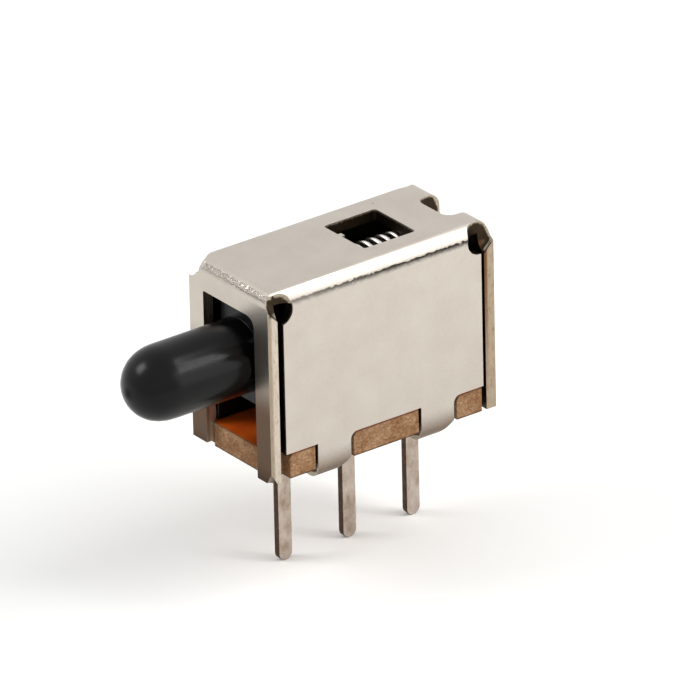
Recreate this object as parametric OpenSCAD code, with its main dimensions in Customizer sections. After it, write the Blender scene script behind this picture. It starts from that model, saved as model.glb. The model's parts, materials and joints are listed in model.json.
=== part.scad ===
// Miniature pushbutton switch with three in-line pins.
// A folded steel frame, open at the front and the bottom, is clinched over a laminate base that
// carries three blade terminals. A sprung slider moves a contact clip from the front pair of
// blades to the rear pair, and its round nose is the button.
// Frame of reference: the button points along -X, +Z is up, and the origin is the middle of the
// front pin on the circuit board's face. The modules measure x from the front plate's outer face.

/* [Folded frame] */
// Thickness of the sheet
sheet = 0.3; // [0.25:0.01:0.32]
// Outer length, front plate to rear plate
frame_length = 7; // [6.8:0.1:8]
// Outer width across the side walls
frame_width = 3.26; // [3.1:0.02:4]
// Height above the circuit board
frame_height = 5.44; // [5.3:0.02:6]
// Inner radius of the bends
bend_inner = 0.06; // [0.04:0.01:0.1]
// Slit between the front plate and each side wall
front_slit = 0.18; // [0.1:0.01:0.25]
// Slit between the rear plate and each side wall
rear_slit = 0.09; // [0.06:0.01:0.2]
// Radius of the relief hole at each top corner
relief_radius = 0.38; // [0.3:0.01:0.42]
// Distance from the front plate's inner face to the centre of its near relief hole
front_relief_inset = 0.1; // [0.05:0.01:0.2]
// Distance from the rear plate's inner face to the centre of its relief holes
rear_relief_inset = 0.12; // [0.05:0.01:0.2]
// Distance from the top down to the centre of the front relief holes
front_relief_drop = 0.51; // [0.4:0.01:0.55]
// Distance from the top down to the centre of the rear relief holes
rear_relief_drop = 0.41; // [0.4:0.01:0.55]
// How deep the near front relief hole bites into the top and the front bend
front_relief_bite = 0.16; // [0.05:0.01:0.3]
// Inset of the far front relief hole; it was punched off its mark, over the front plate
far_relief_inset = -0.2; // [-0.3:0.01:0.2]
// How deep the far front relief hole bites
far_relief_bite = 0.42; // [0.05:0.01:0.45]
// How deep the rear relief holes bite into the top and the rear bend
rear_relief_bite = 0.28; // [0.05:0.01:0.3]
// Gap between the far leg of the front plate and the board
leg_foot = 0.47; // [0.35:0.01:0.6]
// Gap between the near leg of the front plate and the board
near_leg_foot = 0.3; // [0.25:0.01:0.6]
// Width of each leg of the front plate
leg_width = 0.58; // [0.45:0.01:0.62]
// Height of the bar that is left above the front opening
front_bar = 0.78; // [0.75:0.01:0.9]
// Radius of the front opening's near upper corner
near_opening_radius = 0.3; // [0.1:0.01:0.4]
// Radius of the front opening's far upper corner
far_opening_radius = 0.06; // [0.03:0.01:0.3]

/* [Openings in the top] */
// Distance from the front plate to the spring window
window_start = 3.55; // [3.4:0.01:3.8]
// Length of the spring window
window_length = 1.61; // [1.2:0.01:1.7]
// Width of the spring window
window_width = 1.68; // [1.2:0.01:1.8]
// Corner radius of the spring window
window_radius = 0.1; // [0.05:0.01:0.2]
// How far the spring window lies off the middle, towards the near side
window_offset = 0.04; // [0:0.01:0.1]
// Width of the hole that is punched on the rear bend
rear_hole_width = 1.31; // [1:0.01:1.4]
// How far that hole reaches past the bend, on the top and on the rear plate
rear_hole_reach = 0.39; // [0.2:0.01:0.45]
// Corner radius of that hole
rear_hole_radius = 0.3; // [0.1:0.01:0.35]
// How far that hole lies off the middle, towards the near side
rear_hole_offset = 0.08; // [0:0.01:0.1]

/* [Shearing flaws] */
// Width of the nick at the foot of the near leg
nick_width = 0.26; // [0.1:0.01:0.3]
// Height of that nick
nick_height = 0.3; // [0.1:0.01:0.4]
// Depth of that nick, from the corner inwards
nick_depth = 0.16; // [0.1:0.01:0.2]
// How far the burr stands into the spring window
burr_length = 0.1; // [0.05:0.01:0.15]
// Width of the burr
burr_width = 0.16; // [0.1:0.01:0.3]
// Height of the burr
burr_height = 0.1; // [0.05:0.01:0.2]
// Place of the burr across the window
burr_place = 0.04; // [0:0.01:0.3]

/* [Clinching lugs] */
// Distance from the front plate to the front lug
front_lug_start = 1.45; // [1.35:0.01:1.6]
// Distance from the front plate to the rear lug
rear_lug_start = 4.66; // [4.5:0.01:4.7]
// Length of each lug
lug_length = 1.02; // [0.9:0.01:1.1]
// Length that is trimmed off the rear end of each lug at its tip
lug_trim = 0.44; // [0.2:0.01:0.5]
// Width of the lug that lies flat under the base
lug_tip = 0.25; // [0.1:0.01:0.4]
// Corner radius of the notches beside the lugs
notch_radius = 0.2; // [0.05:0.01:0.25]

/* [Base] */
// Thickness of the laminate
base_thick = 0.67; // [0.5:0.01:0.7]
// How far the base stands back from the front plate's outer face
base_setback = 0.22; // [0.1:0.01:0.28]
// Play of the base in the frame, on each side
base_play = 0.02; // [0.01:0.01:0.04]
// Gap between a base tab and the lug beside it
tab_gap = 0.09; // [0.03:0.01:0.15]
// How far the front tab stands back from the front plate
tab_inset = 0.26; // [0.1:0.01:0.4]

/* [Terminals] */
// Distance between neighbouring pins
pin_pitch = 2; // [1.9:0.05:2.1]
// Width of a pin
pin_width = 0.4; // [0.3:0.01:0.5]
// Thickness of a pin
pin_thick = 0.2; // [0.15:0.01:0.22]
// Length of a pin below the circuit board's face
pin_length = 2.82; // [2:0.01:4]
// Length of the contact blade above the base
blade_length = 1; // [0.9:0.05:1.2]
// Height of the contact blade above the base
blade_height = 0.85; // [0.7:0.01:0.95]
// Play of a pin in its slot, on each side
pin_play = 0.01; // [0.005:0.005:0.02]

/* [Plunger] */
// Radius of the button
button_radius = 0.97; // [0.8:0.01:1]
// Height of the button's axis above the circuit board
button_height = 3.2; // [3.1:0.01:3.3]
// How far the button stands out from the front plate
button_reach = 3.03; // [2.5:0.01:4]
// Length of the slider behind the front plate
slider_length = 3.05; // [2.9:0.01:3.2]
// Gap between the slider's channel and the contact blades
channel_gap = 0.2; // [0.1:0.01:0.25]
// Width of each rail under the slider
rail_width = 0.28; // [0.2:0.01:0.35]
// Height of the slider's shoulders above the circuit board
shoulder_height = 3.5; // [3.4:0.01:3.8]
// Width of the rib that holds the spring
rib_width = 1.5; // [1.3:0.01:1.6]
// Running clearance of the slider in the frame
slider_play = 0.06; // [0.04:0.01:0.1]
// Length of the slider's seat in front of the spring
spring_seat = 1.45; // [1.2:0.05:1.6]

/* [Spring] */
// Diameter of the wire
wire = 0.13; // [0.1:0.01:0.14]
// Outer radius of the coil
coil_radius = 0.53; // [0.45:0.01:0.54]
// Pitch of the open turns
coil_pitch = 0.28; // [0.26:0.01:0.36]
// Gap between the coil and the underside of the top
coil_gap = 0.04; // [0.03:0.01:0.08]

/* [Contact clip] */
// Thickness of the clip's strip
clip_thick = 0.1; // [0.08:0.01:0.12]
// Length of the clip
clip_length = 1.5; // [1.3:0.05:1.6]
// Gap between the clip's waist and the blades
clip_gap = 0.03; // [0.02:0.01:0.04]

/* [Hidden] */
$fn = 64;
eps = 0.01;
beyond = 1;
bend_outer = bend_inner + sheet;
top_under = frame_height - sheet;
inner_width = frame_width - 2 * sheet;
wall_end = frame_length - sheet - rear_slit;
base_bottom = sheet + base_play;
base_top = base_bottom + base_thick;
notch_top = base_top + base_play / 2;
middle_pin = frame_length / 2;
front_pin = middle_pin - pin_pitch;
slider_start = sheet + slider_play / 2;
slider_bottom = base_top + slider_play / 2;
rib_top = top_under - slider_play;
coil_axis = top_under - coil_gap - coil_radius;
coil_start = slider_start + spring_seat;
coil_end = frame_length - sheet;
blade_top = base_top + blade_height;
channel_top = blade_top + channel_gap;
bend_rear = frame_length - bend_outer;
bend_low = frame_height - bend_outer;
// At rest the clip joins the front and middle blades; one pin pitch on, the middle and rear ones.
clip_start = middle_pin - (pin_pitch + clip_length) / 2;
clip_width = pin_thick + 4 * clip_thick + 2 * clip_gap;
clip_top = blade_top + 3 * clip_thick;
clip_waist = base_top + 0.55 * blade_height;
clip_foot = base_top + 2 * clip_gap;

// A rectangle that stands on the X axis, with its two upper corners rounded.
module fold_profile(width, height, radius) {
    translate([-width / 2, 0]) square([width, height - radius]);
    translate([radius - width / 2, 0]) square([width - 2 * radius, height]);
    for (side = [-1, 1])
        translate([side * (width / 2 - radius), height - radius]) circle(radius);
}

// A rectangle centred on the origin with rounded corners.
module rounded_rectangle(length, width, radius) {
    square([length - 2 * radius, width], center = true);
    square([length, width - 2 * radius], center = true);
    for (x = [-1, 1], y = [-1, 1])
        translate([x * (length / 2 - radius), y * (width / 2 - radius)]) circle(radius);
}

// The front opening, which is open at the bottom; its far upper corner is the sharper one.
module opening_profile(width, height) {
    intersection() {
        fold_profile(width, height, near_opening_radius);
        translate([-width, 0]) square([width + eps, height]);
    }
    intersection() {
        fold_profile(width, height, far_opening_radius);
        square([width, height]);
    }
}

// A block with its long upper edges rounded, both lengthwise and crosswise.
module folded_block(inset, radius) {
    length = frame_length - 2 * inset;
    width = frame_width - 2 * inset;
    height = frame_height - inset;
    intersection() {
        translate([inset, 0, 0]) rotate([90, 0, 90]) linear_extrude(length)
            fold_profile(width, height, radius);
        translate([frame_length / 2, width / 2, 0]) rotate([90, 0, 0]) linear_extrude(width)
            fold_profile(length, height, radius);
    }
}

// Fillet between a lug's rear edge and the notch behind it, in section.
module notch_fillet() {
    difference() {
        square(notch_radius);
        translate([notch_radius, 0]) circle(notch_radius);
    }
}

// One lug in section: a quarter turn of the sheet and the short flat under the base.
module lug_profile() {
    rise = base_bottom - base_play + bend_inner;
    intersection() {
        difference() {
            circle(bend_outer);
            circle(bend_inner);
        }
        translate([-bend_outer, -bend_outer]) square(bend_outer);
    }
    translate([-eps, -bend_outer]) square([lug_tip + eps, sheet]);
    translate([-bend_outer, -eps]) square([sheet, notch_top - rise + 2 * eps]);
}

// One lug that starts at a place along the wall, its tip trimmed towards the rear.
module lug(start) {
    difference() {
        translate([start, bend_outer - frame_width / 2, bend_outer]) rotate([90, 0, 90])
            linear_extrude(lug_length) lug_profile();
        translate([start + lug_length, frame_width, 0]) rotate([90, 0, 0])
            linear_extrude(2 * frame_width)
                polygon([[-lug_trim, -eps], [eps, -eps], [eps, bend_outer]]);
    }
}

// Relief at one top corner: a hole straight down through the top, the same hole across through
// the wall below the bend, cut off flat at the plate beside it, and the bite that it takes out
// of the bend above that plate. The corner is the origin, with the plate along X = 0 and the
// wall along Y = 0.
module corner_relief(inset, drop, bite) {
    translate([sheet + inset, bite - relief_radius, -bend_outer])
        cylinder(r = relief_radius, h = beyond);
    intersection() {
        translate([sheet + inset, 0, -drop]) rotate([90, 0, 0])
            cylinder(r = relief_radius, h = 2 * bend_outer, center = true);
        translate([sheet, -beyond, -bend_outer - beyond]) cube([beyond, 2 * beyond, beyond + eps]);
    }
    intersection() {
        translate([0, bite - relief_radius, 0]) rotate([0, -45, 0])
            cylinder(r = relief_radius, h = 2 * beyond, center = true);
        union() {
            translate([-beyond, -beyond, -beyond])
                cube([beyond + sheet, 2 * beyond, 2 * beyond]);
            translate([-beyond, -beyond, -sheet]) cube(2 * beyond);
        }
    }
}

// Slit between an end plate and the near wall, from the board up to its relief hole.
module slit(start, width, drop) {
    translate([start, -frame_width, -beyond])
        cube([width, frame_width / 2 + bend_outer, frame_height - drop + beyond]);
}

// Hole on the rear bend: one half is cut down through the top, the other through the rear plate.
module rear_hole() {
    reach = 2 * (bend_outer + rear_hole_reach);
    translate([frame_length, -rear_hole_offset, bend_low]) linear_extrude(beyond)
        rounded_rectangle(reach, rear_hole_width, rear_hole_radius);
    intersection() {
        translate([bend_rear, -rear_hole_offset, frame_height]) rotate([90, 0, 90])
            linear_extrude(beyond) rounded_rectangle(rear_hole_width, reach, rear_hole_radius);
        translate([0, -frame_width, 0])
            cube([2 * frame_length, 2 * frame_width, bend_low + eps]);
    }
}

// The sheet folded down on all four sides, its edges cut to their heights above the board.
module folded_sheet() {
    difference() {
        folded_block(0, bend_outer);
        translate([0, 0, -eps]) folded_block(sheet, bend_inner);
        // The walls end on the base, the lugs reach below it.
        translate([sheet, -frame_width, -beyond])
            cube([frame_length - 2 * sheet, 2 * frame_width, notch_top + beyond]);
        translate([-beyond, 0, -beyond])
            cube([2 * beyond, frame_width, leg_foot + beyond]);
        translate([-beyond, -frame_width, -beyond])
            cube([2 * beyond, frame_width, near_leg_foot + beyond]);
        translate([frame_length - beyond, -frame_width, -beyond])
            cube([2 * beyond, 2 * frame_width, base_bottom + beyond]);
        // Nick in the outer corner of the near leg.
        translate([0, -frame_width / 2, near_leg_foot - eps]) rotate([90, 0, -45])
            linear_extrude(2 * nick_depth, center = true)
                polygon([[-nick_width / 2, 0], [nick_width / 2, 0], [0, nick_height]]);
    }
}

// The folded sheet with its lugs, and with all its openings, slits and reliefs cut.
module punched_sheet() {
    difference() {
        union() {
            folded_sheet();
            for (start = [front_lug_start, rear_lug_start], side = [0, 1])
                mirror([0, side, 0]) {
                    lug(start);
                    translate([start + lug_length, sheet - frame_width / 2,
                               notch_top - notch_radius])
                        rotate([90, 0, 0]) linear_extrude(sheet) notch_fillet();
                }
        }
        translate([-beyond, 0, 0]) rotate([90, 0, 90]) linear_extrude(beyond + sheet + eps)
            opening_profile(frame_width - 2 * leg_width, frame_height - front_bar);
        translate([window_start + window_length / 2, -window_offset, top_under - eps])
            linear_extrude(beyond) rounded_rectangle(window_length, window_width, window_radius);
        rear_hole();
        for (side = [0, 1]) mirror([0, side, 0]) {
            slit(sheet, front_slit, front_relief_drop);
            slit(wall_end, rear_slit, rear_relief_drop);
            translate([0, -frame_width / 2, frame_height])
                corner_relief([front_relief_inset, far_relief_inset][side], front_relief_drop,
                              [front_relief_bite, far_relief_bite][side]);
            translate([frame_length, -frame_width / 2, frame_height]) mirror([1, 0, 0])
                corner_relief(rear_relief_inset, rear_relief_drop, rear_relief_bite);
        }
    }
}

module frame() {
    color("#c8c0b8") {
        punched_sheet();
        // Burr on the front edge of the spring window.
        translate([window_start - eps, burr_place, frame_height - burr_height])
            cube([burr_length + eps, burr_width, burr_height]);
    }
}

// A base tab from the side: its upper front corner follows the fillet of the notch.
module tab_profile(length) {
    square([length, base_thick - notch_radius]);
    translate([notch_radius, 0]) square([length - notch_radius, base_thick]);
    translate([notch_radius, base_thick - notch_radius]) circle(notch_radius);
}

// Laminate plate: it fills the frame, with a tongue between the front legs and tabs that
// reach to the walls' outer faces between the lugs.
module base_plate() {
    body_start = sheet + base_play;
    body_end = frame_length - sheet - base_play;
    front_lug_end = front_lug_start + lug_length;
    rear_lug_end = rear_lug_start + lug_length;
    tabs = [[body_start + tab_inset, front_lug_start - tab_gap],
            [front_lug_end + tab_gap, rear_lug_start - tab_gap],
            [rear_lug_end + tab_gap, body_end - tab_inset / 2]];
    color("#b98d5e")
    difference() {
        union() {
            translate([body_start, -inner_width / 2 + base_play, base_bottom])
                cube([body_end - body_start, inner_width - 2 * base_play, base_thick]);
            translate([base_setback, leg_width + base_play - frame_width / 2, base_bottom])
                cube([body_start, frame_width - 2 * (leg_width + base_play), base_thick]);
            for (tab = tabs)
                translate([tab[0], frame_width / 2, base_bottom]) rotate([90, 0, 0])
                    linear_extrude(frame_width) tab_profile(tab[1] - tab[0]);
        }
        for (pin = [-1, 0, 1])
            translate([middle_pin + pin * pin_pitch, 0, base_bottom])
                cube([pin_width + 2 * pin_play, pin_thick + 2 * pin_play, 3 * base_thick],
                     center = true);
    }
}

// Blade terminal: a wide contact blade on the base and a round-ended pin below it.
module terminal(pin) {
    color("#b7a794")
    translate([middle_pin + pin * pin_pitch, pin_thick / 2, 0])
        rotate([90, 0, 0]) linear_extrude(pin_thick) {
            translate([-pin_width / 2, pin_width / 2 - pin_length])
                square([pin_width, pin_length - pin_width / 2 + base_top + eps]);
            translate([0, pin_width / 2 - pin_length]) circle(pin_width / 2);
            translate([-blade_length / 2, base_top])
                square([blade_length, blade_height]);
        }
}

module terminal_front() { terminal(-1); }
module terminal_middle() { terminal(0); }
module terminal_rear() { terminal(1); }

// Moulded slider: a round-nosed button, a block that runs on the base and the rib above it
// that holds the front of the spring.
module plunger() {
    color("#232323")
    difference() {
        union() {
            translate([-button_reach, 0, button_height]) rotate([0, 90, 0]) rotate_extrude()
                intersection() {
                    union() {
                        translate([0, button_radius]) circle(button_radius);
                        translate([0, button_radius])
                            square([button_radius, button_reach + slider_start]);
                    }
                    square([2 * button_radius, 2 * button_reach]);
                }
            translate([slider_start, slider_play - inner_width / 2, slider_bottom])
                cube([slider_length, inner_width - 2 * slider_play,
                      shoulder_height - slider_bottom]);
            translate([slider_start, -rib_width / 2, shoulder_height - eps])
                cube([slider_length, rib_width, rib_top - shoulder_height + eps]);
        }
        // Pocket of the spring, open at the top and the rear.
        translate([coil_start, 0, coil_axis]) rotate([0, 90, 0])
            cylinder(r = coil_radius + slider_play / 2, h = slider_length);
        translate([coil_start, -coil_radius - slider_play / 2, coil_axis])
            cube([slider_length, 2 * coil_radius + slider_play, frame_height]);
        // Channel over the blades, between the two rails.
        translate([0, rail_width + slider_play - inner_width / 2, slider_bottom - beyond])
            cube([2 * slider_length, inner_width - 2 * (rail_width + slider_play),
                  channel_top - slider_bottom + beyond]);
        // Pocket for the contact clip.
        translate([clip_start - clip_gap, -clip_width / 2 - clip_gap, slider_bottom])
            cube([clip_length + 2 * clip_gap, clip_width + 2 * clip_gap,
                  clip_top + clip_gap - slider_bottom]);
    }
}

// Spring clip: a web in the slider and two legs that close to a waist on the blades and
// flare out below it.
module contact_clip() {
    waist = pin_thick / 2 + clip_gap;
    shoulder = clip_width / 2;
    half = [[shoulder, clip_top], [shoulder, clip_top - 2 * clip_thick],
            [waist + clip_thick, clip_waist], [shoulder, clip_foot],
            [shoulder - clip_thick, clip_foot], [waist, clip_waist],
            [shoulder - clip_thick, clip_top - 2 * clip_thick],
            [shoulder - clip_thick, clip_top - clip_thick]];
    other_half = [for (i = [len(half) - 1:-1:0]) [-half[i][0], half[i][1]]];
    color("#c9a56b")
    translate([clip_start, 0, 0]) rotate([90, 0, 90]) linear_extrude(clip_length)
        polygon(concat(half, other_half));
}

// Coil spring on the X axis: closed end turns and open turns between them.
module return_spring() {
    closed = 1.2;
    closed_pitch = 1.08 * wire;
    length = coil_end - coil_start - wire;
    open_turns = (length - 2 * closed * closed_pitch) / coil_pitch;
    turns = open_turns + 2 * closed;
    steps = 18;
    sides = 6;
    rings = floor(turns * steps);
    radius = coil_radius - wire / 2;
    // Advance along the axis after a number of turns.
    function advance(turn) =
        turn < closed ? turn * closed_pitch
        : turn < closed + open_turns ? closed * closed_pitch + (turn - closed) * coil_pitch
        : length - (turns - turn) * closed_pitch;
    points = [for (ring = [0:rings], side = [0:sides - 1])
        let (turn = ring * turns / rings, around = 360 * turn, about = 360 * side / sides,
             out = radius + wire / 2 * cos(about))
        [advance(turn) + wire / 2 * sin(about), out * cos(around), out * sin(around)]];
    walls = [for (ring = [0:rings - 1], side = [0:sides - 1])
        let (next = (side + 1) % sides, here = ring * sides, there = here + sides)
        [here + side, here + next, there + next, there + side]];
    front_cap = [for (side = [sides - 1:-1:0]) side];
    rear_cap = [for (side = [0:sides - 1]) rings * sides + side];
    color("#d8d4cf")
    translate([coil_start + wire / 2, 0, coil_axis])
        polyhedron(points, concat(walls, [front_cap, rear_cap]));
}

translate([-front_pin, 0, 0]) {
    frame();
    base_plate();
    terminal_front();
    terminal_middle();
    terminal_rear();
    plunger();
    contact_clip();
    return_spring();
}
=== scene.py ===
import json
import math

import bmesh
import bpy
from mathutils import Matrix, Vector
from mathutils.bvhtree import BVHTree

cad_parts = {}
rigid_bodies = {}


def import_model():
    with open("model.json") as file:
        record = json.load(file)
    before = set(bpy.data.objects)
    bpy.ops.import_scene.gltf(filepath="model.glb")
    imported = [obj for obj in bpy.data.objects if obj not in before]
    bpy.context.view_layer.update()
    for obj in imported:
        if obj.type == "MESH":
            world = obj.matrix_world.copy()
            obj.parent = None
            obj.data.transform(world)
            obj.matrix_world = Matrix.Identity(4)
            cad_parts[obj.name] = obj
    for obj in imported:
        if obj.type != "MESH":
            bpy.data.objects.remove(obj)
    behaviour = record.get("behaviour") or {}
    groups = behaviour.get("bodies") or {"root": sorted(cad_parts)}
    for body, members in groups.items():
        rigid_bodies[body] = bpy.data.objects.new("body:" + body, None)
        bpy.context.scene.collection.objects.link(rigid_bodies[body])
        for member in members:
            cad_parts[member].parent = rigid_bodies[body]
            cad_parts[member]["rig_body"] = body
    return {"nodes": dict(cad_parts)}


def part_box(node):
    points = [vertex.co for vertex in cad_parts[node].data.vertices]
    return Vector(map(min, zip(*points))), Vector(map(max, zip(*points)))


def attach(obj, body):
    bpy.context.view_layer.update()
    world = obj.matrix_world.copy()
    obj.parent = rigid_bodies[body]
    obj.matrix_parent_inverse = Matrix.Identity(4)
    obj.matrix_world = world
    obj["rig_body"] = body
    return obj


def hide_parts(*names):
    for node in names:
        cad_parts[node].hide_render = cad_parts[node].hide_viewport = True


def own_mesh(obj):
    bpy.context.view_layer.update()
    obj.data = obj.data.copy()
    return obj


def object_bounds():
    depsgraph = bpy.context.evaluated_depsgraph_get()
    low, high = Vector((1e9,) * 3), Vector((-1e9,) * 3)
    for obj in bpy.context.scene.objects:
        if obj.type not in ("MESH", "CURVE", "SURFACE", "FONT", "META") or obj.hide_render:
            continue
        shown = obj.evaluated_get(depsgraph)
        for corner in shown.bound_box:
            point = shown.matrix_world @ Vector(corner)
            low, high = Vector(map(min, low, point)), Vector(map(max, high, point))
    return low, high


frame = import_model()
cadBox = [list(corner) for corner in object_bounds()]
nodes = frame["nodes"]
mm = 0.001


def linear(hexColour):
    # sRGB hex to linear RGBA
    parts = [int(hexColour[i:i + 2], 16) / 255 for i in (1, 3, 5)]
    return [p / 12.92 if p <= 0.04045 else ((p + 0.055) / 1.055) ** 2.4 for p in parts] + [1.0]


def feed(tree, socket, value):
    # joins an input to an output socket, or sets it to a number, a vector or a hex colour
    if isinstance(value, bpy.types.NodeSocket):
        tree.links.new(value, socket)
    else:
        socket.default_value = linear(value) if isinstance(value, str) else value


def addNode(tree, kind, settings=None, inputs=None):
    # one node: settings are its properties, inputs go by name or number and are as in feed
    node = tree.nodes.new(kind)
    for name, value in (settings or {}).items():
        setattr(node, name, value)
    for name, value in (inputs or {}).items():
        feed(tree, node.inputs[name], value)
    return node


def calc(tree, operation, *values):
    return addNode(tree, "ShaderNodeMath", {"operation": operation},
                   dict(enumerate(values))).outputs[0]


def plus(tree, first, second):
    return calc(tree, "ADD", first, second)


def minus(tree, first, second):
    return calc(tree, "SUBTRACT", first, second)


def times(tree, result, *others):
    # this joins masks too: 1 where all of them are
    for other in others:
        result = calc(tree, "MULTIPLY", result, other)
    return result


def span(tree, value, start, end):
    # 0 at start, 1 at end, smooth between and level beyond
    return addNode(tree, "ShaderNodeMapRange", {"interpolation_type": "SMOOTHSTEP"},
                   {"Value": value, "From Min": start, "From Max": end}).outputs[0]


def ramp(tree, factor, stops):
    # stops: (position, hex colour)
    node = addNode(tree, "ShaderNodeValToRGB", inputs={"Fac": factor})
    elements = node.color_ramp.elements
    while len(elements) < len(stops):
        elements.new(0.5)
    for element, (position, colour) in zip(elements, stops):
        element.position = position
        element.color = linear(colour)
    return node.outputs["Color"]


def mixColour(tree, amount, first, second, blend="MIX"):
    # the colour sockets share their names with others of the node, so they go by number
    return addNode(tree, "ShaderNodeMix", {"data_type": "RGBA", "blend_type": blend},
                   {0: amount, 6: first, 7: second}).outputs[2]


def objectCoords(tree):
    return addNode(tree, "ShaderNodeTexCoord").outputs["Object"]


def surfaceNormal(tree):
    return addNode(tree, "ShaderNodeNewGeometry").outputs["Normal"]


def split(tree, vector):
    return addNode(tree, "ShaderNodeSeparateXYZ", inputs={"Vector": vector}).outputs


def stretched(tree, coords, *scale):
    return addNode(tree, "ShaderNodeMapping", inputs={"Vector": coords, "Scale": scale}).outputs[0]


def attribute(tree, name):
    return addNode(tree, "ShaderNodeAttribute", {"attribute_name": name}).outputs["Fac"]


def noise(tree, coords, blotchMm, detail, roughness=0.5, distortion=0.0):
    return addNode(tree, "ShaderNodeTexNoise", inputs={
        "Vector": coords, "Scale": 1 / (blotchMm * mm), "Detail": detail,
        "Roughness": roughness, "Distortion": distortion}).outputs["Fac"]


def bump(tree, height, depthMm):
    return addNode(tree, "ShaderNodeBump", inputs={
        "Height": height, "Distance": depthMm * mm, "Strength": 1.0}).outputs["Normal"]


def newMaterial(name):
    material = bpy.data.materials.new(name)
    material.use_nodes = True
    return material, material.node_tree, material.node_tree.nodes["Principled BSDF"]


def dress(tree, shader, **inputs):
    # inputs of the shader, with _ for each space in a name
    for name, value in inputs.items():
        feed(tree, shader.inputs[name.replace("_", " ")], value)


def addObject(name, data):
    thing = bpy.data.objects.new(name, data)
    bpy.context.scene.collection.objects.link(thing)
    return thing


def corners(nodeName):
    return [Vector(corner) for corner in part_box(nodeName)]


def applyModifiers(thing):
    # the object keeps the mesh that its modifiers make
    bpy.context.view_layer.update()
    result = bpy.data.meshes.new_from_object(thing.evaluated_get(
        bpy.context.evaluated_depsgraph_get()))
    thing.modifiers.clear()
    thing.data = result
    result.name = thing.name


steelSheet = {"thickMm": 0.3, "bendRadiusMm": 0.36, "toleranceMm": 0.01}

nickelPlate = {
    # the last colour on the next line, for the inner face, is painted shade
    "face": "#c1b8ae", "bright": "#c8c0b6", "grainShade": "#f6f6f6", "insideShadePaint": "#453e36",
    "roughness": 0.28, "blotchMm": 0.9, "grainMm": 0.035, "reliefMm": 0.006,
    "pit": "#6e655b", "pitStrength": 0.75, "pitEveryMm": 0.55, "pitSize": 0.06, "pitFree": 0.62,
    # the dark colour and sizes of the band under the side bends are for painted shade
    "bendShadePaint": "#2b2824", "bendShadePaintMm": 0.2, "bendShadePaintAboveMm": 0.08, "bendShadePaintRaggedMm": 0.17,
    "bendShadePaintGrainMm": 0.08,
    # the brown for the front legs is a painted reflection
    "legReflectionPaint": "#7d6856", "legReflectionPaintFromMm": 1.4, "legReflectionPaintToMm": 3.2, "legReflectionPaintRaggedMm": 0.3,
    # a darker tone towards the frame's bottom
    "bottomTone": "#a4978b", "bottomToneFromMm": 0.9, "bottomToneToMm": 0.2, "bottomToneRaggedMm": 0.12,
    "burnished": "#a89d8c", "fractured": "#352b20", "cutGrainMm": 0.06,
    "streakDark": "#867560", "streakLight": "#c2b5a6", "streakBright": "#d0c5b6",
    "streakMm": 0.08, "rearStrip": "#d8cfc2",
    # a brown tone on the inner half of the rear strip, more near the top
    "rearBrown": "#6b4a2e", "rearBrownFromMm": 0.9, "rearBrownToMm": 5.2,
    "crackleMm": 0.09, "crackleHeight": 22.0, "crackleGloss": 0.14, "cracklePatchMm": 0.2}


def steelFace(tree, coords, grain, cut, skin):
    # plated faces: soft clouds, fine grain and a few pits
    look = nickelPlate
    (frontX, _, lowZ), (rearX, farY, topZ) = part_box("frame")
    x, y, z = split(tree, coords)
    face = ramp(tree, noise(tree, coords, look["blotchMm"], 3),
                [(0.3, look["face"]), (0.7, look["bright"])])
    shade = ramp(tree, grain, [(0.25, look["grainShade"]), (0.6, "#ffffff")])
    face = mixColour(tree, 1.0, face, shade, "MULTIPLY")
    pits = addNode(tree, "ShaderNodeTexVoronoi", inputs={
        "Vector": coords, "Scale": 1 / (look["pitEveryMm"] * mm)}).outputs
    chance, size = split(tree, pits["Color"])[:2]
    pitted = times(tree, calc(tree, "GREATER_THAN", chance, look["pitFree"]),
                   calc(tree, "LESS_THAN", pits["Distance"],
                        times(tree, size, size, look["pitSize"])), look["pitStrength"])
    face = mixColour(tree, pitted, face, look["pit"])

    # painted shade: a dark ragged band under each side bend, stronger towards the rear
    ragged = noise(tree, stretched(tree, coords, 0.6, 1.0, 1.0), look["bendShadePaintGrainMm"], 5, 0.7)
    bendShadePaintTop = topZ - steelSheet["bendRadiusMm"] * mm + look["bendShadePaintAboveMm"] * mm
    fall = plus(tree, minus(tree, bendShadePaintTop, z),
                times(tree, minus(tree, ragged, 0.5), look["bendShadePaintRaggedMm"] * mm))
    bendShadePainted = times(tree, span(tree, fall, 0.0, 0.012 * mm),
                    span(tree, fall, look["bendShadePaintMm"] * mm, 0.02 * mm),
                    span(tree, calc(tree, "ABSOLUTE", y), farY - 0.06 * mm, farY - 0.03 * mm),
                    span(tree, x, frontX - 5.0 * mm, rearX - 2.5 * mm),
                    span(tree, ragged, 0.22, 0.45))
    face = mixColour(tree, bendShadePainted, face, look["bendShadePaint"])

    # painted reflection: the front legs are darkened brown towards the board, standing in for the
    # dark button and shaded floor that they mirror
    height = plus(tree, z, times(tree, grain, look["legReflectionPaintRaggedMm"] * mm))
    legReflectionPainted = times(tree, span(tree, split(tree, surfaceNormal(tree))["X"], -0.6, -0.9),
                      span(tree, x, frontX + 0.06 * mm, frontX + 0.03 * mm),
                      span(tree, height, topZ - look["legReflectionPaintFromMm"] * mm,
                           topZ - look["legReflectionPaintToMm"] * mm))
    face = mixColour(tree, legReflectionPainted, face, look["legReflectionPaint"], "MULTIPLY")

    # the lugs are darker towards the bottom, and the inner face is painted dark as shade
    height = plus(tree, z, times(tree, grain, look["bottomToneRaggedMm"] * mm))
    bottomTone = span(tree, height, lowZ + look["bottomToneFromMm"] * mm,
                   lowZ + look["bottomToneToMm"] * mm)
    face = mixColour(tree, bottomTone, face, look["bottomTone"], "MULTIPLY")
    # painted shade: the plated inner face is painted dark, as the inside of the box lies in shade
    insideShadePainted = times(tree, span(tree, skin, 0.75, 0.95), minus(tree, 1.0, cut))
    return mixColour(tree, insideShadePainted, face, look["insideShadePaint"])


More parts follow.
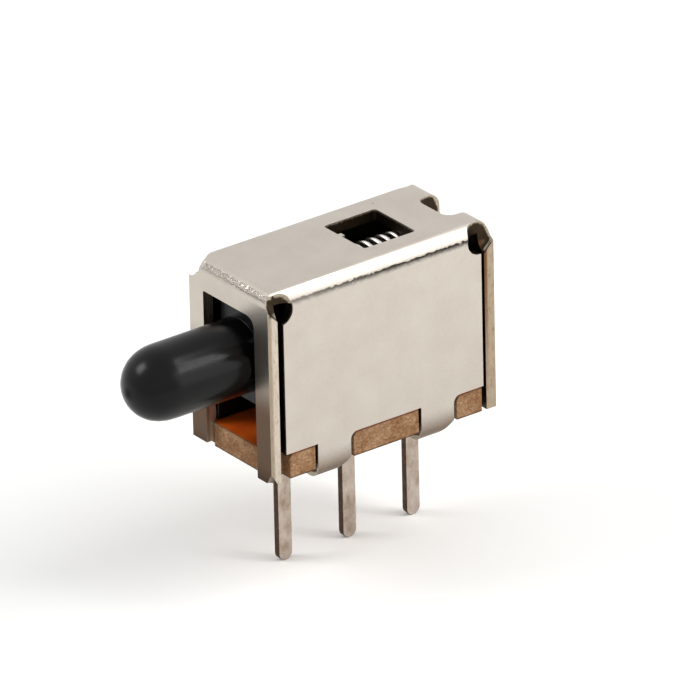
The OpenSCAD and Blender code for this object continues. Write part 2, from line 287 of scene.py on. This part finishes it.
def steelEdge(tree, coords, edgeNoise, skin):
    look = nickelPlate
    (frontX, _, _), (rearX, _, topZ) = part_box("frame")
    x, _, z = split(tree, coords)

    # punched walls: burnished next to the outer face, then broken
    broken = span(tree, plus(tree, skin, times(tree, edgeNoise, 0.5)), 0.32, 0.5)
    punched = mixColour(tree, broken, look["burnished"], look["fractured"])

    # sheared strips of the end plates: speckled along their length, darker on the outer corner of
    # the front one, and brown on the inner half of the rear one, most near the top
    streaks = noise(tree, stretched(tree, coords, 1.6, 1.0, 0.4), look["streakMm"], 5, 0.75)
    strip = ramp(tree, streaks, [(0.28, look["streakDark"]), (0.46, look["streakLight"]),
                                 (0.75, look["streakBright"])])
    isRear = calc(tree, "GREATER_THAN", x, (frontX + rearX) / 2)
    strip = mixColour(tree, isRear, strip, look["rearStrip"], "MULTIPLY")
    depth = plus(tree, skin, times(tree, edgeNoise, 0.25))
    outerDark = times(tree, span(tree, depth, 0.6, 0.35), 0.7, minus(tree, 1.0, isRear))
    strip = mixColour(tree, outerDark, strip, look["streakDark"])
    innerBrown = times(tree, span(tree, depth, 0.7, 0.95), isRear,
                       span(tree, z, topZ - look["rearBrownToMm"] * mm,
                            topZ - look["rearBrownFromMm"] * mm))
    strip = mixColour(tree, innerBrown, strip, look["rearBrown"])
    sideways = calc(tree, "ABSOLUTE", split(tree, surfaceNormal(tree))["Y"])
    isStrip = times(tree, span(tree, sideways, 0.6, 0.8),
                    span(tree, z, topZ - 0.5 * mm, topZ - 0.65 * mm))
    return mixColour(tree, isStrip, punched, strip)


def steelCrazing(tree, coords, edgeNoise, cut):
    # where the plating has crazed: patches along the middle of the front bend
    (frontX, _, _), (_, _, topZ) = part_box("frame")
    x, _, z = split(tree, coords)
    ahead = minus(tree, x, frontX)
    below = minus(tree, topZ, z)
    wandering = plus(tree, ahead, times(tree, edgeNoise, 0.1 * mm))
    acrossBend = calc(tree, "ABSOLUTE", minus(tree, wandering, below))
    patches = noise(tree, coords, nickelPlate["cracklePatchMm"], 3)
    return times(tree, span(tree, acrossBend, 0.15 * mm, 0.05 * mm),
                 span(tree, plus(tree, ahead, below), 0.5 * mm, 0.3 * mm),
                 span(tree, patches, 0.36, 0.5), minus(tree, 1.0, cut))


def makeNickelPlatedSteel():
    # rolled steel strip, nickel plated after it was stamped: warm satin grey faces, sheared edges
    # with a bright burnished band and a rough one, and plating that has crazed on the front bend
    look = nickelPlate
    material, tree, shader = newMaterial("nickelPlatedSteel")
    coords = objectCoords(tree)
    cut, skin = attribute(tree, "cutEdge"), attribute(tree, "skinDepth")
    grain = noise(tree, coords, look["grainMm"], 4, 0.6)
    edgeNoise = noise(tree, coords, look["cutGrainMm"], 5, 0.7)
    crackle = noise(tree, coords, look["crackleMm"], 3, 0.7, 0.4)
    face = steelFace(tree, coords, grain, cut, skin)
    edge = steelEdge(tree, coords, edgeNoise, skin)
    crazed = steelCrazing(tree, coords, edgeNoise, cut)
    rough = plus(tree, times(tree, grain, 0.08), look["roughness"])
    rough = plus(tree, rough, times(tree, cut, 0.1))
    rough = minus(tree, rough, times(tree, crazed, look["crackleGloss"]))
    height = plus(tree, times(tree, grain, 0.1),
                  times(tree, crackle, crazed, look["crackleHeight"]))
    height = plus(tree, height, times(tree, edgeNoise, cut, 1.2))
    dress(tree, shader, Metallic=1.0, Base_Color=mixColour(tree, cut, face, edge),
          Roughness=rough, Normal=bump(tree, height, look["reliefMm"]))
    return material


laminateLook = {
    "paperDark": "#6b4a2f", "paper": "#957254", "paperLight": "#ad8866", "frayed": "#d6b998",
    "stain": "#ded0c0", "skin": "#3a2213", "resin": "#f0701f", "resinDeep": "#cf4c10",
    "under": "#8f6039", "roughness": 0.8, "gloss": 0.15, "reliefMm": 0.05,
    "paperMm": 0.085, "stainMm": 0.35, "resinMm": 0.8}


def makePhenolicLaminate():
    # paper laminate, pressed with phenolic resin and punched: smooth orange faces, frayed cuts
    look = laminateLook
    lowZ, topZ = (corner[2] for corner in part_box("base_plate"))
    material, tree, shader = newMaterial("phenolicLaminate")
    coords = objectCoords(tree)
    mottled = noise(tree, stretched(tree, coords, 1.0, 1.0, 1.4), look["paperMm"], 6, 0.75, 0.3)
    cutTone = ramp(tree, mottled, [(0.3, look["paperDark"]), (0.44, look["paper"]),
                                   (0.58, look["paperLight"]), (0.72, look["frayed"])])
    stained = ramp(tree, noise(tree, coords, look["stainMm"], 4, 0.6),
                   [(0.42, look["stain"]), (0.6, "#ffffff")])
    cutTone = mixColour(tree, 1.0, cutTone, stained, "MULTIPLY")

    # the pressed skins show as a dark line along both edges of a cut
    half = (topZ - lowZ) / 2
    fromMiddle = calc(tree, "ABSOLUTE", minus(tree, split(tree, coords)["Z"], (lowZ + topZ) / 2))
    fromMiddle = plus(tree, fromMiddle, times(tree, mottled, 0.05 * mm))
    edgeLine = span(tree, fromMiddle, half - 0.03 * mm, half + 0.02 * mm)
    cutTone = mixColour(tree, times(tree, edgeLine, 0.8), cutTone, look["skin"])

    # orange resin on top, and a browner underside
    faceTone = ramp(tree, noise(tree, coords, look["resinMm"], 3),
                    [(0.3, look["resinDeep"]), (0.7, look["resin"])])
    upward = split(tree, surfaceNormal(tree))["Z"]
    faceTone = mixColour(tree, calc(tree, "LESS_THAN", upward, 0.0), faceTone, look["under"])
    isFace = span(tree, calc(tree, "ABSOLUTE", upward), 0.75, 0.9)
    height = times(tree, mottled, minus(tree, 1.0, times(tree, isFace, 0.95)))
    dress(tree, shader, IOR=1.55, Base_Color=mixColour(tree, isFace, cutTone, faceTone),
          Roughness=minus(tree, look["roughness"], times(tree, isFace, 0.45)),
          Specular_IOR_Level=plus(tree, look["gloss"], times(tree, isFace, 0.35)),
          Normal=bump(tree, height, look["reliefMm"]))
    return material


terminalLook = {
    "dull": "#9a8672", "plate": "#b7a99d", "clean": "#cdc3ba", "bare": "#3d2c21",
    "bareWarm": "#5c4636", "roughness": 0.16, "washMm": 0.35, "bareMm": 0.2, "grainMm": 0.06,
    "reliefMm": 0.003}


def makePlatedTerminal():
    # blanked brass strip, tin plated before blanking: clouded grey faces, brown bare cuts
    look = terminalLook
    material, tree, shader = newMaterial("tinPlatedBrass")
    coords = objectCoords(tree)
    cut = attribute(tree, "cutEdge")
    wash = noise(tree, stretched(tree, coords, 1.0, 1.0, 0.7), look["washMm"], 5, 0.62, 0.2)
    faceTone = ramp(tree, wash, [(0.3, look["dull"]), (0.5, look["plate"]),
                                 (0.72, look["clean"])])
    cutTone = ramp(tree, noise(tree, coords, look["bareMm"], 4),
                   [(0.3, look["bare"]), (0.75, look["bareWarm"])])
    rough = plus(tree, times(tree, wash, 0.25), look["roughness"])
    dress(tree, shader, Metallic=1.0, Base_Color=mixColour(tree, cut, faceTone, cutTone),
          Roughness=plus(tree, rough, times(tree, cut, 0.12)),
          Normal=bump(tree, noise(tree, coords, look["grainMm"], 4), look["reliefMm"]))
    return material


blackNylonLook = {
    "dark": "#030304", "light": "#070708", "gloss": 0.17, "roughness": 0.16, "blotchMm": 0.5,
    "grainMm": 0.035, "patchMm": 0.6, "reliefMm": 0.0022}


def makeBlackMoulding():
    # glass-filled nylon, moulded in a polished tool: near black with a soft streak of light
    look = blackNylonLook
    material, tree, shader = newMaterial("blackNylon")
    coords = objectCoords(tree)
    tone = ramp(tree, noise(tree, coords, look["blotchMm"], 3),
                [(0.3, look["dark"]), (0.7, look["light"])])
    grain = noise(tree, coords, look["grainMm"], 3)
    uneven = plus(tree, times(tree, grain, 0.06),
                  times(tree, noise(tree, coords, look["patchMm"], 2), 0.08))
    dress(tree, shader, IOR=1.52, Specular_IOR_Level=look["gloss"], Base_Color=tone,
          Roughness=plus(tree, uneven, look["roughness"]),
          Normal=bump(tree, grain, look["reliefMm"]))
    return material


springWireLook = {"dark": "#c9c5bf", "light": "#e4e1dc", "roughness": 0.22, "blotchMm": 0.1,
                  "detail": 2}
bronzeLook = {"dark": "#b08a55", "light": "#cfab74", "roughness": 0.32, "blotchMm": 0.3,
              "detail": 3}


def makePlainMetal(name, look):
    material, tree, shader = newMaterial(name)
    tone = ramp(tree, noise(tree, objectCoords(tree), look["blotchMm"], look["detail"]),
                [(0.3, look["dark"]), (0.7, look["light"])])
    dress(tree, shader, Metallic=1.0, Base_Color=tone, Roughness=look["roughness"])
    return material


def depthInSheet(point):
    # how deep a point of the frame lies in its sheet: 0 on the outer face, 1 on the inner one
    low, high = corners("frame")
    bend = steelSheet["bendRadiusMm"] * mm
    middle = (low + high) / 2
    over = [abs(point[i] - middle[i]) - (high[i] - low[i]) / 2 + bend for i in range(2)]
    upper = max(point.z - high.z + bend, low.z + bend - point.z)
    depths = [bend - (math.hypot(side, upper) if side > 0 and upper > 0 else max(side, upper))
              for side in over]
    # the end plates' own edges lie in the side faces, so there only the length counts
    isEndPlate = over[0] > bend - (steelSheet["thickMm"] + steelSheet["toleranceMm"]) * mm
    depth = depths[0] if isEndPlate else min(depths)
    return min(1.0, max(0.0, depth / (steelSheet["thickMm"] * mm)))


plungerEnd = {"fromMm": 0.95, "longerMm": 0.085, "lowerMm": 0.03, "fullerShare": 0.02}


def shapePlungerEnd(vertices):
    # the moulded end is a little longer, fuller and lower than a plain half ball
    look = plungerEnd
    length = look["fromMm"] * mm
    endX = corners("plunger")[0].x
    near = [v.co for v in vertices if v.co.x < endX + length]
    heights = [co.z for co in near]
    axisZ = (min(heights) + max(heights)) / 2
    for co in near:
        share = min(1.0, (endX + length - co.x) / length)
        share = share * share * (3 - 2 * share)
        fuller = 1 + look["fullerShare"] * min(1.0, 2 * share)
        co.y *= fuller
        co.z = axisZ + (co.z - axisZ) * fuller - look["lowerMm"] * mm * share
        co.x -= look["longerMm"] * mm * share


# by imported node; sheetMm is the stock between the plated faces, or 0 for a piece without any
terminalStock = {"slot": "terminal", "sheetMm": 0.2, "edgeMm": 0.012}
pieceLooks = {
    "frame": {"piece": "foldedFrame", "slot": "plated_steel", "sheetMm": steelSheet["thickMm"],
              "edgeMm": 0.028},
    "base_plate": {"piece": "laminateBase", "slot": "laminate", "sheetMm": 0, "edgeMm": 0.015},
    "terminal_front": {"piece": "frontTerminal", **terminalStock},
    "terminal_middle": {"piece": "middleTerminal", **terminalStock},
    "terminal_rear": {"piece": "rearTerminal", **terminalStock},
    "plunger": {"piece": "plungerMoulding", "slot": "black_moulding", "sheetMm": 0,
                "edgeMm": 0.02},
    "contact_clip": {"piece": "contactClip", "slot": "contact", "sheetMm": 0.1,
                     "edgeMm": 0.008}}

meshCare = {"mergeMm": 0.0005, "startMm": 0.002, "toleranceMm": 0.02, "flatDegrees": 0.5,
            "sharpDegrees": 40, "bevelDegrees": 35, "bevelSegments": 2}


def refined(nodeName, look, material):
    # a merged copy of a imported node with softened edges; cutEdge marks the faces that were
    # sheared, where what lies behind them is not one thickness of the stock
    source = nodes[nodeName]
    pieceName, slotName = look["piece"], look["slot"]
    mesh = source.data.copy()
    mesh.name = pieceName
    body = bmesh.new()
    body.from_mesh(mesh)
    bmesh.ops.remove_doubles(body, verts=body.verts, dist=meshCare["mergeMm"] * mm)
    cutLayer = body.faces.layers.float.new("cutEdge")
    skinLayer = body.verts.layers.float.new("skinDepth")
    if nodeName == "frame":
        for vertex in body.verts:
            vertex[skinLayer] = depthInSheet(vertex.co)
    if nodeName == "plunger":
        shapePlungerEnd(body.verts)
    tree = BVHTree.FromBMesh(body)
    for face in body.faces:
        inward = -face.normal
        start = face.calc_center_median() + inward * meshCare["startMm"] * mm
        hit = tree.ray_cast(start, inward)
        depthMm = hit[3] / mm if hit[0] is not None else 0.0
        isPlated = look["sheetMm"] and abs(depthMm - look["sheetMm"]) < meshCare["toleranceMm"]
        face[cutLayer] = 0.0 if isPlated else 1.0
        face.smooth = True
    bmesh.ops.dissolve_limit(body, angle_limit=math.radians(meshCare["flatDegrees"]),
                             verts=body.verts, edges=body.edges, delimit={"NORMAL"})
    body.to_mesh(mesh)
    body.free()
    piece = addObject(pieceName, mesh)
    mesh.materials.clear()
    mesh.materials.append(material)
    mesh.set_sharp_from_angle(angle=math.radians(meshCare["sharpDegrees"]))
    soften = piece.modifiers.new("softEdges", "BEVEL")
    soften.width = look["edgeMm"] * mm
    soften.segments = meshCare["bevelSegments"]
    soften.limit_method = "ANGLE"
    soften.angle_limit = math.radians(meshCare["bevelDegrees"])
    soften.use_clamp_overlap = True
    piece.modifiers.new("flatNormals", "WEIGHTED_NORMAL").keep_sharp = True
    applyModifiers(piece)
    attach(piece, source["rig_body"])
    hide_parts(nodeName)


springLook = {"wireMm": 0.13, "pitchMm": 0.28, "closedTurns": 1.2, "closedPitch": 1.08,
              "stepsPerTurn": 40, "wireSides": 12, "travelMm": 2.0}


def makeSpringTree():
    # a wire wound on the X axis: closed end turns, open turns between them
    tree = bpy.data.node_groups.new("coilSpring", "GeometryNodeTree")
    for name, kind in (("Wire Diameter", "NodeSocketFloat"), ("Coil Radius", "NodeSocketFloat"),
                       ("Open Pitch", "NodeSocketFloat"), ("Closed Pitch", "NodeSocketFloat"),
                       ("Closed Turns", "NodeSocketFloat"), ("Turns", "NodeSocketFloat"),
                       ("Points", "NodeSocketInt"), ("Sides", "NodeSocketInt"),
                       ("Start", "NodeSocketVector"), ("Material", "NodeSocketMaterial")):
        tree.interface.new_socket(name, in_out="INPUT", socket_type=kind)
    tree.interface.new_socket("Geometry", in_out="OUTPUT", socket_type="NodeSocketGeometry")
    given = tree.nodes.new("NodeGroupInput").outputs

    # how many turns lie before each point: closed in front, open, closed in the rear
    line = addNode(tree, "GeometryNodeCurvePrimitiveLine").outputs["Curve"]
    points = addNode(tree, "GeometryNodeResampleCurve", inputs={
        "Curve": line, "Count": given["Points"]}).outputs["Curve"]
    share = addNode(tree, "GeometryNodeSplineParameter").outputs["Factor"]
    turn = times(tree, share, given["Turns"])
    openTurns = minus(tree, given["Turns"], times(tree, given["Closed Turns"], 2.0))
    inFront = calc(tree, "MINIMUM", turn, given["Closed Turns"])
    behind = minus(tree, turn, given["Closed Turns"])
    inOpen = calc(tree, "MAXIMUM", calc(tree, "MINIMUM", behind, openTurns), 0.0)
    inRear = calc(tree, "MAXIMUM", minus(tree, behind, openTurns), 0.0)

    # the helix, and a round wire along it
    advance = plus(tree, times(tree, plus(tree, inFront, inRear), given["Closed Pitch"]),
                   times(tree, inOpen, given["Open Pitch"]))
    angle = times(tree, turn, 2 * math.pi)
    offset = addNode(tree, "ShaderNodeCombineXYZ", inputs={
        "X": advance, "Y": times(tree, calc(tree, "COSINE", angle), given["Coil Radius"]),
        "Z": times(tree, calc(tree, "SINE", angle), given["Coil Radius"])}).outputs[0]
    place = addNode(tree, "ShaderNodeVectorMath", {"operation": "ADD"},
                    {0: offset, 1: given["Start"]}).outputs[0]
    helix = addNode(tree, "GeometryNodeSetPosition", inputs={
        "Geometry": points, "Position": place}).outputs["Geometry"]
    section = addNode(tree, "GeometryNodeCurvePrimitiveCircle", inputs={
        "Resolution": given["Sides"],
        "Radius": times(tree, given["Wire Diameter"], 0.5)}).outputs["Curve"]
    wire = addNode(tree, "GeometryNodeCurveToMesh", inputs={
        "Curve": helix, "Profile Curve": section, "Fill Caps": True}).outputs["Mesh"]
    smooth = addNode(tree, "GeometryNodeSetShadeSmooth", inputs={"Geometry": wire}).outputs[0]
    real = addNode(tree, "GeometryNodeRealizeInstances", inputs={"Geometry": smooth}).outputs[0]
    dressed = addNode(tree, "GeometryNodeSetMaterial", inputs={
        "Geometry": real, "Material": given["Material"]}).outputs[0]
    addNode(tree, "NodeGroupOutput", inputs={"Geometry": dressed})
    return tree


def makeReturnSpring(material):
    look = springLook
    low, high = corners("return_spring")
    centre = (low + high) / 2
    length = high.x - low.x
    wire = look["wireMm"] * mm
    closedPitch = look["closedPitch"] * wire
    openLength = length - wire - 2 * look["closedTurns"] * closedPitch
    turns = openLength / (look["pitchMm"] * mm) + 2 * look["closedTurns"]
    spring = addObject("returnSpring", bpy.data.meshes.new("returnSpring"))
    winding = spring.modifiers.new("winding", "NODES")
    winding.node_group = makeSpringTree()
    values = {"Wire Diameter": wire, "Coil Radius": (high.z - low.z - wire) / 2,
              "Open Pitch": look["pitchMm"] * mm, "Closed Pitch": closedPitch,
              "Closed Turns": look["closedTurns"], "Turns": turns,
              "Points": round(turns * look["stepsPerTurn"]), "Sides": look["wireSides"],
              "Start": (low.x + wire / 2, centre.y, centre.z), "Material": material}
    for item in winding.node_group.interface.items_tree:
        if item.item_type == "SOCKET" and item.in_out == "INPUT":
            winding[item.identifier] = values[item.name]
    applyModifiers(spring)
    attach(spring, nodes["return_spring"]["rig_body"])
    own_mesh(spring)
    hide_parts("return_spring")


materials = {
    "plated_steel": makeNickelPlatedSteel(), "laminate": makePhenolicLaminate(),
    "terminal": makePlatedTerminal(), "black_moulding": makeBlackMoulding(),
    "spring_wire": makePlainMetal("springWire", springWireLook),  # drawn stainless, coiled bright
    "contact": makePlainMetal("phosphorBronze", bronzeLook)}  # rolled strip, formed
print("materials made")

for nodeName, pieceLook in pieceLooks.items():
    refined(nodeName, pieceLook, materials[pieceLook["slot"]])
makeReturnSpring(materials["spring_wire"])
print("pieces made")


floorLook = {"levelMm": -2.82, "sizeMm": 4000, "colour": "#f4f4f2", "roughness": 0.8}


def makeFloor():
    half, z = floorLook["sizeMm"] * mm / 2, floorLook["levelMm"] * mm
    mesh = bpy.data.meshes.new("floor")
    mesh.from_pydata([(-half, -half, z), (half, -half, z), (half, half, z), (-half, half, z)],
                     [], [(0, 1, 2, 3)])
    material, tree, shader = newMaterial("paleFloor")
    dress(tree, shader, Base_Color=floorLook["colour"], Roughness=floorLook["roughness"])
    mesh.materials.append(material)
    floor = addObject("floor", mesh)


worldLook = {"colour": "#ffffff", "lightStrength": 0.68, "seenStrength": 1.0}


def makeWorld():
    # the floor and the matt parts get a dimmer light than the world that is seen and mirrored
    world = bpy.data.worlds.new("studio")
    bpy.context.scene.world = world
    world.use_nodes = True
    tree = world.node_tree
    lighting = tree.nodes["Background"]
    dress(tree, lighting, Color=worldLook["colour"], Strength=worldLook["lightStrength"])
    seen = addNode(tree, "ShaderNodeBackground", inputs={
        "Color": worldLook["colour"], "Strength": worldLook["seenStrength"]})
    path = addNode(tree, "ShaderNodeLightPath").outputs
    isSeen = calc(tree, "MAXIMUM", calc(tree, "MAXIMUM", path["Is Camera Ray"],
                                        path["Is Glossy Ray"]), path["Is Transmission Ray"])
    mix = addNode(tree, "ShaderNodeMixShader", inputs={
        0: isSeen, 1: lighting.outputs[0], 2: seen.outputs[0]})
    feed(tree, tree.nodes["World Output"].inputs["Surface"], mix.outputs[0])


# a wide box lights the near side, a narrow one draws the streaks along the side bend and the
# button, and one behind puts a spot on the button's end
softboxDistanceMm = 150
softboxes = {
    "keyBox": {"towards": (0.58, -0.62, 0.34), "upright": (0, 0, 1), "sizeMm": (150, 130),
               "radiance": 1.2},
    "streakBox": {"towards": (0.548, -0.43, 0.717), "upright": (0, 0.86, 0.51),
                  "sizeMm": (28, 100), "radiance": 12.0},
    "backBox": {"towards": (-0.585, 0.447, 0.67), "upright": (0, 0, 1), "sizeMm": (54, 54),
                "radiance": 8.0}}


def addSoftbox(name):
    look = softboxes[name]
    light = bpy.data.lights.new(name, "AREA")
    light.shape = "RECTANGLE"
    light.size, light.size_y = (s * mm for s in look["sizeMm"])
    light.energy = look["radiance"] * math.pi * light.size * light.size_y
    lamp = addObject(name, light)
    away = Vector(look["towards"]).normalized()
    low, high = (Vector(corner) for corner in cadBox)
    lamp.location = (low + high) / 2 + away * softboxDistanceMm * mm
    upright = Vector(look["upright"])
    y = (upright - away * upright.dot(away)).normalized()
    lamp.rotation_euler = Matrix((y.cross(away), y, away)).transposed().to_euler()


cameraPlace = {"azimuth": -36.4547, "elevation": 25.8499, "roll": -1.2877, "distanceMm": 320.0,
               "aimMm": (2.1467, -0.0732, 2.3251), "lensMm": 661.78, "sensorMm": 36}


def makeCamera():
    look = cameraPlace
    turn, rise = math.radians(look["azimuth"]), math.radians(look["elevation"])
    away = Vector((math.sin(turn) * math.cos(rise), -math.cos(turn) * math.cos(rise),
                   math.sin(rise)))
    camera = bpy.data.cameras.new("camera")
    camera.sensor_width = look["sensorMm"]
    camera.lens = look["lensMm"]
    camera.clip_start = 1 * mm
    camera.clip_end = 10
    view = addObject("camera", camera)
    view.location = Vector(look["aimMm"]) * mm + away * look["distanceMm"] * mm
    right = Vector((math.cos(turn), math.sin(turn), 0))
    up = away.cross(right)
    tilt = math.radians(look["roll"])
    x = right * math.cos(tilt) + up * math.sin(tilt)
    y = up * math.cos(tilt) - right * math.sin(tilt)
    view.rotation_euler = Matrix((x, y, away)).transposed().to_euler()
    bpy.context.scene.camera = view


makeFloor()
makeWorld()
for boxName in softboxes:
    addSoftbox(boxName)
makeCamera()
bpy.context.scene.view_settings.view_transform = "Standard"
print("floor, light and camera set")
